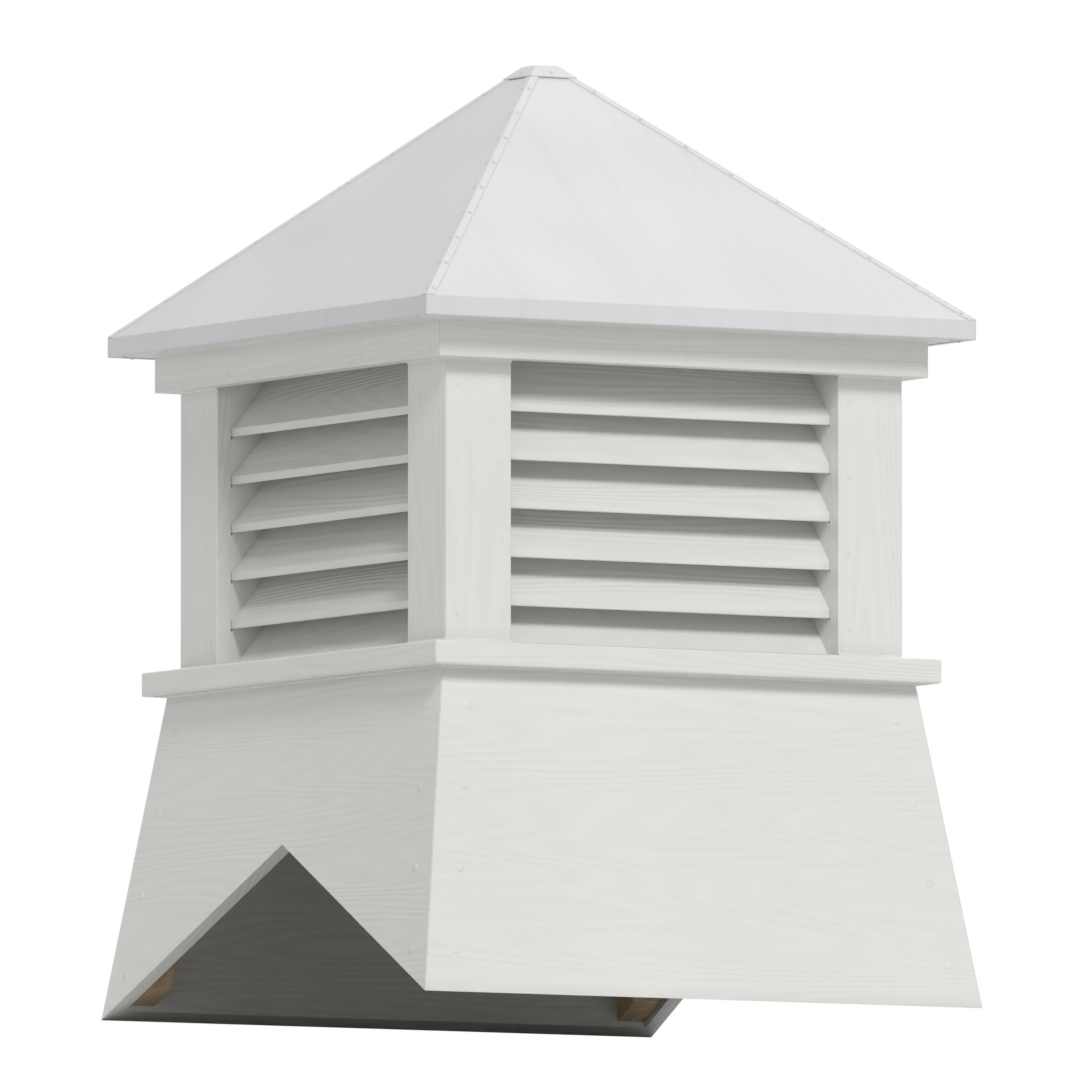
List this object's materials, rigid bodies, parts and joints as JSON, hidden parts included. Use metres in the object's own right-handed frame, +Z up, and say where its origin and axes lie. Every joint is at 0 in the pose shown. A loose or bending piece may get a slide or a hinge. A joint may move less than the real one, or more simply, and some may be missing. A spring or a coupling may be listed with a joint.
{
  "type": "roof cupola",
  "caption": "Square louvred roof cupola with a flared base cut to straddle a ridge, an overhanging sill and frieze, and a pyramid roof with a small flat tip.",
  "frame": {"origin": "centre of the square footprint, level with the two lowest edges of the flared base", "axes": "+Z up; +X along the ridge of the roof that the cupola straddles; -Y is the front, facing down the near slope"},
  "size_m": [0.7618, 0.762, 1.1256],
  "materials": {
    "painted_timber": "white exterior paint, satin",
    "inner_timber": "unpainted softwood, matt",
    "roof_metal": "white factory-painted sheet, satin"
  },
  "bodies": {
    "root": {"apex_cap": "roof_metal", "base_back": "painted_timber", "base_block_back_left": "inner_timber", "base_block_back_right": "inner_timber", "base_block_front_left": "inner_timber", "base_block_front_right": "inner_timber", "base_front": "painted_timber", "base_left": "painted_timber", "base_right": "painted_timber", "eave_board_back": "painted_timber", "eave_board_front": "painted_timber", "eave_board_left": "painted_timber", "eave_board_right": "painted_timber", "frieze_back": "painted_timber", "frieze_front": "painted_timber", "frieze_left": "painted_timber", "frieze_right": "painted_timber", "hip_strip_back_left": "roof_metal", "hip_strip_back_right": "roof_metal", "hip_strip_front_left": "roof_metal", "hip_strip_front_right": "roof_metal", "louvre_slats_back": "painted_timber", "louvre_slats_front": "painted_timber", "louvre_slats_left": "painted_timber", "louvre_slats_right": "painted_timber", "louvre_stiles_back": "painted_timber", "louvre_stiles_front": "painted_timber", "louvre_stiles_left": "painted_timber", "louvre_stiles_right": "painted_timber", "post_back_left": "painted_timber", "post_back_right": "painted_timber", "post_front_left": "painted_timber", "post_front_right": "painted_timber", "roof_deck_back": "inner_timber", "roof_deck_front": "inner_timber", "roof_deck_left": "inner_timber", "roof_deck_right": "inner_timber", "roof_sheet_back": "roof_metal", "roof_sheet_front": "roof_metal", "roof_sheet_left": "roof_metal", "roof_sheet_right": "roof_metal", "sill_back": "painted_timber", "sill_front": "painted_timber", "sill_left": "painted_timber", "sill_right": "painted_timber"}
  },
  "joints": []
}
